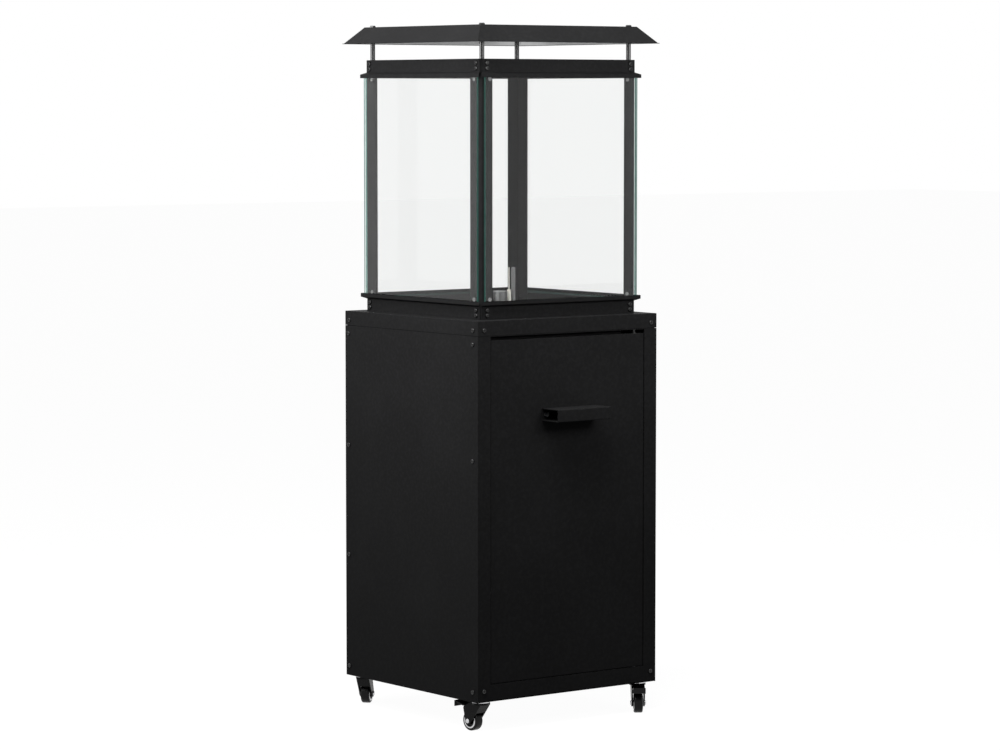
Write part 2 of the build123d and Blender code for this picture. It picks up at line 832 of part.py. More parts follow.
def pilot_bracket():
    """Bridge on the lantern floor that holds the two probes beside the burner."""
    middle = (electrode_offset + thermocouple_offset) / 2
    x0 = middle - bracket_length / 2 + probe_radius
    x1 = middle + bracket_length / 2
    y = bracket_width / 2
    bridge = block(x0, x1, -y, y, bracket_top_z - bracket_sheet, bracket_top_z)
    for side in (-1, 1):
        bridge += block(x0, x1, side * y, side * (y - bracket_sheet), floor_top_z, bracket_top_z)
    for x in (electrode_offset, thermocouple_offset):
        bridge -= pillar(x, 0, bracket_top_z - 2 * bracket_sheet, bracket_top_z + bracket_sheet,
                         probe_radius + thread_gap)
    return bridge


def probe(x, top):
    """Round body through bracket, floor and lid, with two collars above the bracket."""
    body = pillar(x, 0, lid_z - probe_tail, lid_z + top, probe_radius)
    seat_z = bracket_top_z
    body += pillar(x, 0, seat_z, seat_z + probe_collar_height, probe_collar_radius)
    for level in (probe_collar_low, probe_collar_high):
        body += pillar(x, 0, lid_z + level, lid_z + level + probe_collar_height, probe_collar_radius)
    return body


def igniter_electrode():
    """Ceramic body with a thin spark wire above and a tag below."""
    body = probe(electrode_offset, ceramic_top)
    return body + pillar(electrode_offset, 0, lid_z - probe_tail, lid_z + probe_top, wire_radius)


def thermocouple():
    """Round-topped flame probe."""
    body = probe(thermocouple_offset, probe_top)
    return fillet(body.edges().sort_by(Axis.Z)[-1], probe_radius / 2)


# Controls

control_back_y = control_y + control_plate_sheet
igniter_x = igniter_offset


def control_bracket():
    """Plate hung under the lid, drilled for the valve stem and the igniter."""
    half = control_plate_width / 2
    top = lid_z - lid_sheet - lap_gap
    foot = top - control_plate_height
    plate = block(-half, half, control_y, control_back_y, foot, top)
    plate += block(-half, half, control_y, control_y + control_flange, top - control_plate_sheet, top)
    depth = 3 * control_plate_sheet
    plate -= bore(seat(0, control_y, control_z, FRONT), stem_radius + stem_hole_gap, depth)
    return plate - bore(seat(igniter_x, control_y, control_z, FRONT), igniter_radius + thread_gap, depth)


def valve_middle():
    return control_back_y + lap_gap + valve_depth / 2


def gas_valve():
    """Valve block on the back of the plate, with bores for stem, feed pipe and inlet."""
    y0 = control_back_y + lap_gap
    half_x = valve_width / 2
    half_z = valve_height / 2
    body = block(-half_x, half_x, y0, y0 + valve_depth, control_z - half_z, control_z + half_z)
    body = fillet(body.edges().filter_by(Axis.Y), handle_radius)
    body -= bore(seat(0, control_y, control_z, FRONT), stem_radius + running_gap,
                 control_plate_sheet + lap_gap + valve_depth / 2)
    body -= bore(seat(0, y0 + valve_depth, control_z, BACK), pipe_radius + thread_gap, pipe_grip)
    body -= bore(seat(-half_x, valve_middle(), control_z, LEFT), inlet_radius + thread_gap, pipe_grip)
    return body


def control_knob():
    """Round knob with a raised grip bar and a socket for its stem."""
    face_y = control_y - knob_gap - knob_depth
    back = control_y - knob_gap
    disc = across_stem(face_y, back, knob_radius)
    disc = fillet(disc.edges().group_by(Axis.Y)[0], knob_edge)
    grip_half = knob_radius - knob_flat
    disc += block(-knob_grip_width / 2, knob_grip_width / 2, face_y - knob_grip_height, face_y + knob_flat,
                  control_z - grip_half, control_z + grip_half)
    return disc - across_stem(back - knob_socket, back + knob_gap, stem_radius + running_gap)


def across_stem(y0, y1, radius):
    """Cylinder on the knob's axis."""
    return Pos(0, (y0 + y1) / 2, control_z) * Rot(90, 0, 0) * Cylinder(radius, y1 - y0)


def valve_stem():
    """Sprung stem that carries the knob and slides in the valve."""
    front = control_y - knob_gap - knob_socket + running_gap
    end = control_back_y + valve_depth / 2 - knob_travel
    return across_stem(front, end, stem_radius)


def igniter_body():
    """Piezo barrel through the plate, open at the front for its button."""
    place = seat(igniter_x, control_y, control_z, FRONT)
    body = pillar(0, 0, -igniter_body_length, 0, igniter_radius)
    body += pillar(0, 0, lap_gap, igniter_flange_height, igniter_flange_radius)
    body += pillar(0, 0, 0, lap_gap, igniter_radius)
    body -= pillar(0, 0, -button_length, 2 * igniter_flange_height, button_radius + button_gap)
    return place * body


def igniter_button():
    place = seat(igniter_x, control_y, control_z, FRONT)
    top = igniter_flange_height + button_out
    button = pillar(0, 0, top - button_length, top, button_radius)
    return place * fillet(button.edges().sort_by(Axis.Z)[-1], knob_edge)


def feed_pipe():
    """Bent pipe from the valve's back to the injector under the burner."""
    start_y = control_back_y + lap_gap + valve_depth - pipe_grip
    end_z = burner_foot_z - injector_height + pipe_grip
    path = FilletPolyline((0, start_y, control_z), (0, 0, control_z), (0, 0, end_z), radius=pipe_bend)
    section = Plane(origin=(0, start_y, control_z), z_dir=BACK) * Circle(pipe_radius)
    return sweep(section, path=path)


def gas_inlet():
    """Threaded spigot on the valve's left side, where a hose would screw on."""
    place = seat(-valve_width / 2, valve_middle(), control_z, LEFT)
    nipple = pillar(0, 0, -pipe_grip + lap_gap, 0, inlet_radius)
    nipple += hexagon(0, 0, 0, inlet_collar_height, inlet_collar_radius)
    nipple += pillar(0, 0, inlet_collar_height, inlet_collar_height + inlet_length, inlet_radius)
    nipple -= pillar(0, 0, -pipe_grip, 2 * inlet_length, inlet_bore_radius)
    return place * nipple


# Roof

def frustum(width, depth, top_width, top_depth, z0, z1):
    """Four-sided block whose sides slope between two rectangles."""
    low = Pos(0, 0, z0) * Rectangle(width, depth)
    high = Pos(0, 0, z1) * Rectangle(top_width, top_depth)
    return loft([low, high], ruled=True)


def slope_shell(width, depth, top_width, top_depth, z0, z1, sheet):
    """Flat-topped hat of even sheet, open below."""
    run = (width - top_width) / 2
    rise = z1 - z0
    level = sheet * math.hypot(run, rise) / rise
    top_level = level + sheet * run / rise
    outer = frustum(width, depth, top_width, top_depth, z0, z1)
    inner_low = frustum(width - 2 * level, depth - 2 * level, top_width - 2 * (level - sheet * run / rise),
                        top_depth - 2 * (level - sheet * run / rise), z0, z1 - sheet)
    skirt_cut = block(-(width / 2 - level), width / 2 - level, -(depth / 2 - level), depth / 2 - level,
                      z0 - top_level, z0)
    return outer - inner_low - skirt_cut


def roof_cap():
    """Sloped roof with a small outward hem along the eave."""
    width = roof_width - 2 * hem_width
    depth = roof_depth - 2 * hem_width
    roof = slope_shell(width, depth, roof_top_width, roof_top_depth, eave_z, roof_top_z, roof_sheet)
    run = (width - roof_top_width) / 2
    level = roof_sheet * math.hypot(run, roof_height) / roof_height
    hem = block(-roof_width / 2, roof_width / 2, -roof_depth / 2, roof_depth / 2, eave_z, eave_z + roof_sheet)
    hem -= block(-(width / 2 - level), width / 2 - level, -(depth / 2 - level), depth / 2 - level,
                 eave_z - roof_sheet, eave_z + 2 * roof_sheet)
    roof += hem
    return roof - rod_holes(roof_top_z - 2 * roof_sheet, roof_top_z + roof_sheet)


def rod_holes(z0, z1):
    return [pillar(x, y, z0, z1, bolt_radius + thread_gap) for x, y, _ in corner_places(rod_x, rod_y, z0)]


reflector_top_z = roof_top_z - roof_sheet - lap_gap


def roof_reflector():
    """Bright liner under the roof, its flat top clamped against the roof's."""
    low_z = eave_z + reflector_rise
    run = (roof_width - 2 * hem_width - roof_top_width) / 2
    lean = run * (roof_top_z - reflector_top_z) / roof_height
    low_lean = run * (roof_top_z - low_z) / roof_height
    level = roof_sheet * math.hypot(run, roof_height) / roof_height + reflector_gap
    reflector = slope_shell(
        roof_top_width + 2 * (low_lean - level),
        roof_top_depth + 2 * (low_lean - level),
        roof_top_width + 2 * (lean - level),
        roof_top_depth + 2 * (lean - level),
        low_z,
        reflector_top_z,
        reflector_sheet,
    )
    return reflector - rod_holes(reflector_top_z - 2 * reflector_sheet, reflector_top_z + reflector_sheet)


def roof_rods():
    """Tubes that carry the roof on the posts' top gussets."""
    top_z = reflector_top_z - reflector_sheet
    rods = []
    for x, y, z in corner_places(rod_x, rod_y, ring_top_z):
        hole = pillar(x, y, z - post_sheet, top_z + post_sheet, bolt_radius + thread_gap)
        rods.append(pillar(x, y, z, top_z, rod_radius) - hole)
    return group(rods)


def roof_bolts():
    """Bolt up through each post gusset, rod, reflector and roof."""
    head_top = ring_top_z - post_sheet
    end_z = roof_top_z + cap_nut_hex_height
    bolts = []
    for x, y, _ in corner_places(rod_x, rod_y, head_top):
        head = hexagon(x, y, head_top - bolt_head_height, head_top, bolt_head_radius)
        bolts.append(head + pillar(x, y, head_top, end_z, bolt_radius))
    return group(bolts)


def roof_cap_nuts():
    """Domed nuts on the roof's flat top."""
    nut = hexagon(0, 0, 0, cap_nut_hex_height, cap_nut_radius)
    dome = pillar(0, 0, 0, cap_nut_height, cap_nut_dome_radius)
    nut += fillet(dome.edges().sort_by(Axis.Z)[-1], cap_nut_height - cap_nut_hex_height - thread_gap)
    nut -= pillar(0, 0, -cap_nut_height, cap_nut_hex_height + thread_gap, bolt_radius + thread_gap)
    return group([Pos(x, y, z) * nut for x, y, z in corner_places(rod_x, rod_y, roof_top_z)])


# Casters

def caster_stems():
    """Threaded stem, upper race and kingpin of each caster, with its nut in the cabinet."""
    rivet_z = fork_top_z - fork_head_height - race_gap
    solids = []
    for x, y, _ in corner_places(right_x - caster_inset, back_y - caster_inset, 0):
        stem = pillar(x, y, race_top_z - race_height, race_top_z, race_radius)
        stem += pillar(x, y, race_top_z, race_top_z + stem_screw_rise, stem_screw_radius)
        stem += pillar(x, y, rivet_z, race_top_z, kingpin_radius)
        stem += pillar(x, y, rivet_z - kingpin_head_height, rivet_z, kingpin_head_radius)
        nut_z = base_z + base_sheet
        nut = hexagon(x, y, nut_z, nut_z + stem_nut_height, stem_nut_radius)
        nut -= pillar(x, y, base_z, nut_z + 2 * stem_nut_height, stem_screw_radius + thread_gap)
        solids += [stem, nut]
    return group(solids)


def fork_outline(braked):
    """Side view of the fork: head, axle boss and, if braked, the pedal's boss."""
    head = Pos((fork_rear - fork_front) / 2, fork_top_z - fork_head_height / 2)
    edges = (head * Rectangle(fork_front + fork_rear, fork_head_height)).edges()
    edges += (Pos(caster_trail, wheel_z) * Circle(fork_axle_boss)).edges()
    if braked:
        edges += (Pos(pedal_pivot_out, pedal_pivot_height) * Circle(pedal_boss_radius)).edges()
    return make_hull(edges)


def across(face, half_width):
    """Side-view face pulled both ways across the caster, upright and trailing to +X."""
    return extrude(Plane.XZ * face, half_width, both=True)


def cross_pin(x, z, half_width, radius):
    return Pos(x, 0, z) * Rot(90, 0, 0) * Cylinder(radius, 2 * half_width)


def caster_fork(braked):
    """Swivel head with two legs that straddle the wheel."""
    outline = fork_outline(braked)
    fork = across(outline, fork_outer_half)
    under_head = fork_top_z - fork_head_height
    room = Pos(caster_trail, wheel_z) * Circle(wheel_radius + fork_wheel_room)
    rear = caster_trail + wheel_radius + pedal_tip_out
    hollow_height = under_head - wheel_z
    open_rear = Pos((fork_wall - fork_front + rear) / 2, wheel_z + hollow_height / 2)
    cavity = open_rear * Rectangle(rear - fork_wall + fork_front, hollow_height)
    wall = outline - offset(outline, -fork_wall)
    front_side = Pos(-fork_front, wheel_z) * Rectangle(2 * fork_front, 4 * hollow_height)
    cavity = cavity - (wall & front_side) + room
    low_half = wheel_z + fork_axle_boss
    cavity += Pos(caster_trail, wheel_z - low_half / 2) * Rectangle(2 * wheel_radius, low_half)
    fork -= across(cavity, fork_inner_half)
    fork += pillar(0, 0, under_head, fork_top_z, fork_head_radius)
    over_head = fork_top_z + fork_head_height
    fork -= pillar(0, 0, under_head - fork_head_height, over_head, kingpin_radius + running_gap)
    fork -= cross_pin(caster_trail, wheel_z, 2 * fork_outer_half, axle_radius + thread_gap)
    if braked:
        pin_hole = pedal_pin_radius + running_gap
        fork -= cross_pin(pedal_pivot_out, pedal_pivot_height, 2 * fork_outer_half, pin_hole)
    return fork


def caster_wheel():
    """Tread with rounded shoulders, recessed sides and a long hub."""
    wheel = cross_pin(caster_trail, wheel_z, wheel_width / 2, wheel_radius)
    rims = wheel.edges().filter_by(GeomType.CIRCLE)
    wheel = fillet(rims, wheel_edge_radius)
    for side in (-1, 1):
        face_y = side * wheel_width / 2
        floor_y = face_y - side * wheel_recess_depth
        place = Pos(caster_trail, (face_y + floor_y) / 2, wheel_z) * Rot(90, 0, 0)
        wheel -= place * Cylinder(wheel_recess_radius, wheel_recess_depth)
    hub_half = fork_inner_half - wheel_side_gap
    wheel += cross_pin(caster_trail, wheel_z, hub_half, wheel_hub_radius)
    return wheel - cross_pin(caster_trail, wheel_z, 2 * hub_half, axle_radius + running_gap)


def caster_axle():
    """Rivet through both legs, with a round head on each side."""
    axle = cross_pin(caster_trail, wheel_z, fork_outer_half + lap_gap, axle_radius)
    for side in (-1, 1):
        y = side * (fork_outer_half + lap_gap + axle_head_height / 2)
        head = Pos(caster_trail, y, wheel_z) * Rot(90, 0, 0) * Cylinder(axle_head_radius, axle_head_height)
        outer = head.edges().sort_by(Axis.Y)[0 if side < 0 else -1]
        axle += fillet(outer, axle_head_height / 2)
    return axle


def brake_pedal():
    """Foot plate on a cross pin, rising to a lip beyond the wheel."""
    inner_half = fork_inner_half - wheel_side_gap
    boss = cross_pin(pedal_pivot_out, pedal_pivot_height, inner_half, pedal_boss_radius)
    pin = cross_pin(pedal_pivot_out, pedal_pivot_height, fork_outer_half, pedal_pin_radius)
    top = [
        (pedal_pivot_out, pedal_pivot_height + pedal_boss_radius),
        (pedal_tip_out, pedal_tip_height + pedal_plate),
        (pedal_tip_out, pedal_tip_height - pedal_lip),
        (pedal_tip_out - pedal_plate, pedal_tip_height - pedal_lip),
        (pedal_tip_out - pedal_plate, pedal_tip_height),
        (pedal_pivot_out, pedal_pivot_height + pedal_boss_radius - pedal_plate),
    ]
    plate = across(make_face(Polyline(*top, close=True)), inner_half)
    wide_x = pedal_pivot_out + pedal_boss_radius + fork_wall
    wide = across(make_face(Polyline(*top, close=True)), pedal_half_width)
    wide &= block(wide_x, 2 * pedal_tip_out, -2 * pedal_half_width, 2 * pedal_half_width, 0, base_z)
    return boss + pin + plate + wide


def casters():
    """The four casters, each turned to its own heading; only the front pair has brakes."""
    headings = {
        "front_left": (-1, -1, front_left_angle, True),
        "front_right": (1, -1, front_right_angle, True),
        "back_left": (-1, 1, back_left_angle, False),
        "back_right": (1, 1, back_right_angle, False),
    }
    nodes = {}
    for name, (i, j, angle, braked) in headings.items():
        place = Pos(i * (right_x - caster_inset), j * (back_y - caster_inset), 0) * Rot(0, 0, angle)
        nodes[f"caster_fork_{name}"] = place * caster_fork(braked)
        nodes[f"caster_wheel_{name}"] = place * caster_wheel()
        nodes[f"caster_axle_{name}"] = place * caster_axle()
        if braked:
            nodes[f"brake_pedal_{name}"] = place * brake_pedal()
    return nodes


def cabinet_screws():
    panel = side_places(-1) + side_places(1) + foot_places(FRONT) + foot_places(BACK) + skirt_places()
    return group(screws(panel, panel_screw_length))


def build():
    os.makedirs("parts", exist_ok=True)
    nodes = {
        "base_plate": base_plate(),
        "left_side_panel": side_panel(-1),
        "right_side_panel": side_panel(1),
        "back_panel": back_panel(),
        "front_frame": front_frame(),
        "top_lid": top_lid(),
        "cabinet_screws": cabinet_screws(),
        "door_panel": door_panel(),
        "door_handle": door_handle(),
        "handle_bolts": handle_bolts(),
        "hinge_pins": hinge_pins(),
        "hinge_bushes": hinge_bushes(),
        "catch_magnet": catch_magnet(),
        "catch_strike": catch_strike(),
        "post_front_left": corner_post(-1, -1),
        "post_front_right": corner_post(1, -1),
        "post_back_left": corner_post(-1, 1),
        "post_back_right": corner_post(1, 1),
        "lantern_rails": lantern_rails(),
        "lantern_screws": lantern_screws(),
        "glass_pads": glass_pads(),
        "lantern_floor": lantern_floor(),
        "burner_tube": burner_tube(),
        "burner_cap": burner_cap(),
        "gas_injector": gas_injector(),
        "pilot_bracket": pilot_bracket(),
        "igniter_electrode": igniter_electrode(),
        "thermocouple": thermocouple(),
        "control_bracket": control_bracket(),
        "gas_valve": gas_valve(),
        "control_knob": control_knob(),
        "valve_stem": valve_stem(),
        "igniter_body": igniter_body(),
        "igniter_button": igniter_button(),
        "feed_pipe": feed_pipe(),
        "gas_inlet": gas_inlet(),
        "roof_cap": roof_cap(),
        "roof_reflector": roof_reflector(),
        "roof_rods": roof_rods(),
        "roof_bolts": roof_bolts(),
        "roof_cap_nuts": roof_cap_nuts(),
        "caster_stems": caster_stems(),
    }
    nodes.update(panes())
    nodes.update(casters())
    for name, shape in nodes.items():
        save(name, shape)


build()
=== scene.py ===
import json
import math

import bmesh
import bpy
from bpy.props import FloatProperty, FloatVectorProperty, IntProperty, PointerProperty
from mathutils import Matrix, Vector


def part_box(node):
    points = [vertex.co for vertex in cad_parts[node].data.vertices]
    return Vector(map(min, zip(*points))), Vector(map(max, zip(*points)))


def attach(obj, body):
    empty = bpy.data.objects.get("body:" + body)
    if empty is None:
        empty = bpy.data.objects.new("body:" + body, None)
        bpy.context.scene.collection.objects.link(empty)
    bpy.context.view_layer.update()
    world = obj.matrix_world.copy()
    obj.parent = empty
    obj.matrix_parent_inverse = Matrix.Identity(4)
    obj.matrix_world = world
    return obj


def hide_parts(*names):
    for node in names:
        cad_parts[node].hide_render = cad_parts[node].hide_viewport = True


bl_info = {
    "name": "Patio heater",
    "version": (1, 0, 0),
    "blender": (4, 5, 0),
    "location": "View3D > Sidebar > Heater",
    "description": "Finishes, wheels and studio for a glass lantern patio heater",
    "category": "Object",
}

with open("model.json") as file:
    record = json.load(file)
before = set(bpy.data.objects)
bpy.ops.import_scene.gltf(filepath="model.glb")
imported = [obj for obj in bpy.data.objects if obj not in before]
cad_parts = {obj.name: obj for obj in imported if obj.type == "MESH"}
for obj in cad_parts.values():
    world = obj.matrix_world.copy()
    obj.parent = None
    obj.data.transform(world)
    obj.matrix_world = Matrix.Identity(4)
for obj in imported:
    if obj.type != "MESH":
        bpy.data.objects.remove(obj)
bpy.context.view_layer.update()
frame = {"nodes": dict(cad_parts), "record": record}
JOINTS = {joint["name"]: joint for joint in frame["record"]["behaviour"]["joints"]}
CORNERS = ("front_left", "front_right", "back_left", "back_right")

# Each noise is its cycles per metre and its octaves.
COAT_MOTTLE = (150.0, 4.0)
COAT_CLOUD = (5.0, 3.0)
METAL_TARNISH = (60.0, 3.0)
MOULDING_GRAIN = (1400.0, 2.0)
MOULDING_SCUFFS = (180.0, 5.0)
GLASS_FILM = (9.0, 4.0)
COAT_GRAIN_OCTAVES = 3.0

# Drawn lines run along Y: their noise is stretched by these cycles per metre.
LINE_STRETCH = (900.0, 40.0, 900.0)
STRETCHED_LINES = (1.0, 4.0)

# Each effect maps a span of its noise to a span of strength or roughness.
COAT_FLECKS = ((0.42, 0.75), (0.0, 0.45))
COAT_PATCHES = ((0.45, 0.8), (0.0, 0.3))
COAT_ROUGHNESS = ((0.3, 0.7), (0.46, 0.6))
LINE_ROUGHNESS = ((0.3, 0.7), (0.0, 0.16))
SCUFF_STRENGTH = ((0.55, 0.72), (0.0, 0.7))
FILM_ROUGHNESS = ((0.5, 0.8), (0.0, 0.03))

SCUFF_ROUGHNESS = 0.25
CUT_EDGE_ROUGHNESS = 0.25
GLASS_INDEX = 1.3
HEAT_TONE = 0.4

# Depth of each finish's relief, in metres.
COAT_RELIEF = 0.00025
METAL_RELIEF = 0.00003
MOULDING_RELIEF = 0.00004
RELIEF_STRENGTH = 0.5

BLACK = (0.0, 0.0, 0.0, 1.0)
WHITE = (1.0, 1.0, 1.0, 1.0)
FINISH_OUTPUTS = (("Color", "Color"), ("Roughness", "Float"), ("Height", "Float"))
# Glow is painted light: it feeds the shader's emission.
SHADER_FEEDS = {"Color": "Base Color", "Roughness": "Roughness", "Glow": "Emission Color"}

# A wheel is shaped with its axle upright, and a face is known by how level it lies and by its sides.
LEVEL = 0.9
HALF_LEVEL = 0.5
MOST_WALL_SIDES = 8
SAME_PLACE = 1e-6
SHOULDER_STEPS = 5
SMOOTH_ANGLE = math.radians(35)

FLOOR_WIDTH = 60.0
FLOOR_ROUGHNESS = 0.9
SENSOR_WIDTH = 36.0
FARTHEST_SEEN = 100.0
TOP_LIGHT_PLACE = (-1.1, -0.7, 3.0)
TOP_LIGHT_AIM = (0, 0, 0.9)
TOP_LIGHT_SIZE = 1.8
LEFT_LIGHT_PLACE = (-1.6, 0.2, 1.5)
RIGHT_LIGHT_PLACE = (0.3, -1.6, 1.5)
SIDE_LIGHT_AIM = (0, 0, 1.4)
SIDE_LIGHT_SIZE = 0.8


def tint(name, description, default):
    """Colour property with linear values."""
    return FloatVectorProperty(name=name, description=description, default=default,
                               subtype="COLOR", min=0, max=1)


def length(name, description, default):
    """Size property in metres."""
    return FloatProperty(name=name, description=description, default=default, unit="LENGTH", min=0)


def angle(name, description, degrees):
    """Angle property whose default is given in degrees."""
    return FloatProperty(name=name, description=description, default=math.radians(degrees),
                         subtype="ANGLE")


def amount(name, description, default, lowest=0.0):
    """Plain number with a lower bound."""
    return FloatProperty(name=name, description=description, default=default, min=lowest)


class HeaterFinishes(bpy.types.PropertyGroup):
    """Colours, gloss and grain of the heater's finishes."""

    coat: tint("Powder coat", "Fine-texture black coat on the sheet metal", (0.013, 0.013, 0.0133))
    coat_grain: amount("Coat grain", "Grains per metre", 620.0, lowest=1.0)
    coat_gloss: amount("Coat gloss", "Refractive index that sets the coat's sheen", 1.07, lowest=1.0)
    coat_rub: tint("Rubbed coat", "Coat where hands and dust have greyed it", (0.024, 0.024, 0.0247))
    glass: tint("Glass", "Body colour of the panes", (0.948, 0.953, 0.95))
    glass_edge: tint("Glass edge", "Colour of the panes' cut edges", (0.1, 0.36, 0.3))
    # Painted glow: the panes' cut edges emit this colour in place of light carried along the glass.
    painted_edge_glow: tint("Edge glow", "Light that a cut edge brings from its pane", (0.02, 0.07, 0.056))
    arris: length("Arris", "Ground corner along a pane's edges", 0.0005)
    steel: tint("Zinc plate", "Bright plated steel", (0.62, 0.62, 0.63))
    blackened: tint("Blackened steel", "Screws, nuts, rods, forks and pedals", (0.005, 0.005, 0.0052))
    aluminium: tint("Reflector", "Rolled aluminium of the reflector", (0.45, 0.453, 0.456))
    brass: tint("Brass", "Valve, stem, injector, pipe and inlet", (0.6, 0.43, 0.17))
    ceramic: tint("Ceramic", "Glaze of the electrode", (0.78, 0.75, 0.69))
    silicone: tint("Pads", "Grey silicone pads at the panes", (0.2, 0.2, 0.2))
    tread: tint("Tread", "Moulded caster wheels", (0.006, 0.006, 0.0065))
    moulded: tint("Mouldings", "Knob, igniter and magnet housings", (0.016, 0.016, 0.017))
    button: tint("Button", "Igniter button", (0.3, 0.02, 0.015))
    nylon: tint("Nylon", "Black hinge bushes", (0.012, 0.012, 0.012))


class HeaterWheels(bpy.types.PropertyGroup):
    """Sizes of the modelled caster wheels."""

    width: length("Width", "Across the tread", 0.018)
    shoulder: length("Shoulder", "Rounding of the tread's shoulders", 0.003)
    wall: length("Side wall", "Flat ring inside the shoulder", 0.0018)
    ring: length("Ring", "Width of the bright ring inside the side wall", 0.0024)
    ring_rise: length("Ring rise", "How far the bright ring stands out", 0.0004)
    slope: length("Slope", "Width of each sloped step", 0.0012)
    recess: length("Recess", "Depth of the recess round the hub", 0.0032)
    web: length("Web", "Width of the recess floor", 0.0034)
    hub: length("Hub", "Rise of the hub above the recess floor", 0.0046)
    bore: length("Bore", "Radius of the axle hole", 0.0031)
    segments: IntProperty(name="Segments", description="Sides of the wheel's circle", default=72, min=12)


class HeaterStage(bpy.types.PropertyGroup):
    """Camera, lights and floor."""

    azimuth: angle("Azimuth", "Side that the camera sees", -37.22)
    elevation: angle("Elevation", "Camera's dip", 4.576)
    distance: length("Distance", "From the camera to the point it turns about", 7.2384)
    aim_height: length("Aim height", "Height of that point", 0.66245)
    lens: amount("Lens", "Focal length in millimetres", 128.395, lowest=1.0)
    shift: FloatProperty(name="Shift", description="Vertical lens shift", default=0.0094)
    top: amount("Top light", "Power in watts", 84.0)
    left: amount("Left light", "Power in watts", 11.0)
    right: amount("Right light", "Power in watts", 7.0)
    side_spread: angle("Side spread", "Width of the side lights' beams", 100)
    surround: amount("Surround", "Strength of the soft light all round", 0.06)
    floor_shade: FloatProperty(name="Floor shade", description="How much light the floor sends back",
                               default=0.12, min=0, max=1)
    floor_seen: amount("Floor seen", "White that the camera sees in the floor", 0.97)


def node_group(name, inputs, outputs):
    """Empty shader group with named inputs and outputs."""
    group = bpy.data.node_groups.new(name, "ShaderNodeTree")
    for side, sockets in (("INPUT", inputs), ("OUTPUT", outputs)):
        for label, kind in sockets:
            group.interface.new_socket(label, in_out=side, socket_type=f"NodeSocket{kind}")
    return group, group.nodes.new("NodeGroupInput"), group.nodes.new("NodeGroupOutput")


def give(group, result, **values):
    """Link values to a group's outputs."""
    for label, value in values.items():
        group.links.new(value, result.inputs[label])


def noise(tree, vector, scale, octaves):
    """Noise whose scale is a number or another node's value."""
    node = tree.nodes.new("ShaderNodeTexNoise")
    node.inputs["Detail"].default_value = octaves
    tree.links.new(vector, node.inputs["Vector"])
    if isinstance(scale, float):
        node.inputs["Scale"].default_value = scale
    else:
        tree.links.new(scale, node.inputs["Scale"])
    return node.outputs["Fac"]


def spread(tree, value, spans):
    """Map a value from one span to another, clamped."""
    node = tree.nodes.new("ShaderNodeMapRange")
    tree.links.new(value, node.inputs["Value"])
    source, target = spans
    for label, end in zip(("From Min", "From Max", "To Min", "To Max"), source + target):
        node.inputs[label].default_value = end
    return node.outputs["Result"]


def math_node(tree, operation, first, second):
    """Arithmetic on numbers or other nodes' values."""
    node = tree.nodes.new("ShaderNodeMath")
    node.operation = operation
    for socket, value in zip(node.inputs, (first, second)):
        if isinstance(value, (int, float)):
            socket.default_value = value
        else:
            tree.links.new(value, socket)
    return node.outputs[0]


def mix_color(tree, factor, first, second):
    """Blend of two colours, each a tuple or another node's colour."""
    node = tree.nodes.new("ShaderNodeMix")
    node.data_type = "RGBA"
    tree.links.new(factor, node.inputs["Factor"])
    for label, value in (("A", first), ("B", second)):
        socket = [s for s in node.inputs if s.name == label and s.type == "RGBA"][0]
        if isinstance(value, tuple):
            socket.default_value = value
        else:
            tree.links.new(value, socket)
    return [s for s in node.outputs if s.type == "RGBA"][0]


def object_vector(tree):
    return tree.nodes.new("ShaderNodeTexCoord").outputs["Object"]


def coating_group():
    """Grain, mottling and slightly rubbed patches of a sprayed coat."""
    group, given, result = node_group(
        "Sprayed coat",
        [("Color", "Color"), ("Rubbed Color", "Color"), ("Grain", "Float")],
        FINISH_OUTPUTS,
    )
    vector = object_vector(group)
    grain = noise(group, vector, given.outputs["Grain"], COAT_GRAIN_OCTAVES)
    mottle = noise(group, vector, *COAT_MOTTLE)
    cloud = noise(group, vector, *COAT_CLOUD)
    flecks = spread(group, mottle, COAT_FLECKS)
    patches = spread(group, cloud, COAT_PATCHES)
    rubbed = math_node(group, "ADD", flecks, patches)
    color = mix_color(group, rubbed, given.outputs["Color"], given.outputs["Rubbed Color"])
    rough = spread(group, mottle, COAT_ROUGHNESS)
    give(group, result, Color=color, Roughness=rough, Height=grain)
    return group


def brushed_group():
    """Fine lines across a metal, with a cloudy colour and a streaked roughness."""
    group, given, result = node_group(
        "Drawn metal",
        [("Color", "Color"), ("Dull Color", "Color"), ("Lowest Roughness", "Float")],
        FINISH_OUTPUTS,
    )
    stretch = group.nodes.new("ShaderNodeMapping")
    stretch.inputs["Scale"].default_value = LINE_STRETCH
    group.links.new(object_vector(group), stretch.inputs["Vector"])
    lines = noise(group, stretch.outputs["Vector"], *STRETCHED_LINES)
    tarnish = noise(group, object_vector(group), *METAL_TARNISH)
    color = mix_color(group, tarnish, given.outputs["Color"], given.outputs["Dull Color"])
    streaks = spread(group, lines, LINE_ROUGHNESS)
    rough = math_node(group, "ADD", given.outputs["Lowest Roughness"], streaks)
    give(group, result, Color=color, Roughness=rough, Height=lines)
    return group


def moulded_group():
    """Faint grain and scuffs of a moulded plastic or rubber."""
    group, given, result = node_group(
        "Moulding",
        [("Color", "Color"), ("Scuffed Color", "Color"), ("Lowest Roughness", "Float")],
        FINISH_OUTPUTS,
    )
    vector = object_vector(group)
    grain = noise(group, vector, *MOULDING_GRAIN)
    scuff = spread(group, noise(group, vector, *MOULDING_SCUFFS), SCUFF_STRENGTH)
    color = mix_color(group, scuff, given.outputs["Color"], given.outputs["Scuffed Color"])
    scuffed = math_node(group, "MULTIPLY", scuff, SCUFF_ROUGHNESS)
    rough = math_node(group, "ADD", given.outputs["Lowest Roughness"], scuffed)
    give(group, result, Color=color, Roughness=rough, Height=grain)
    return group


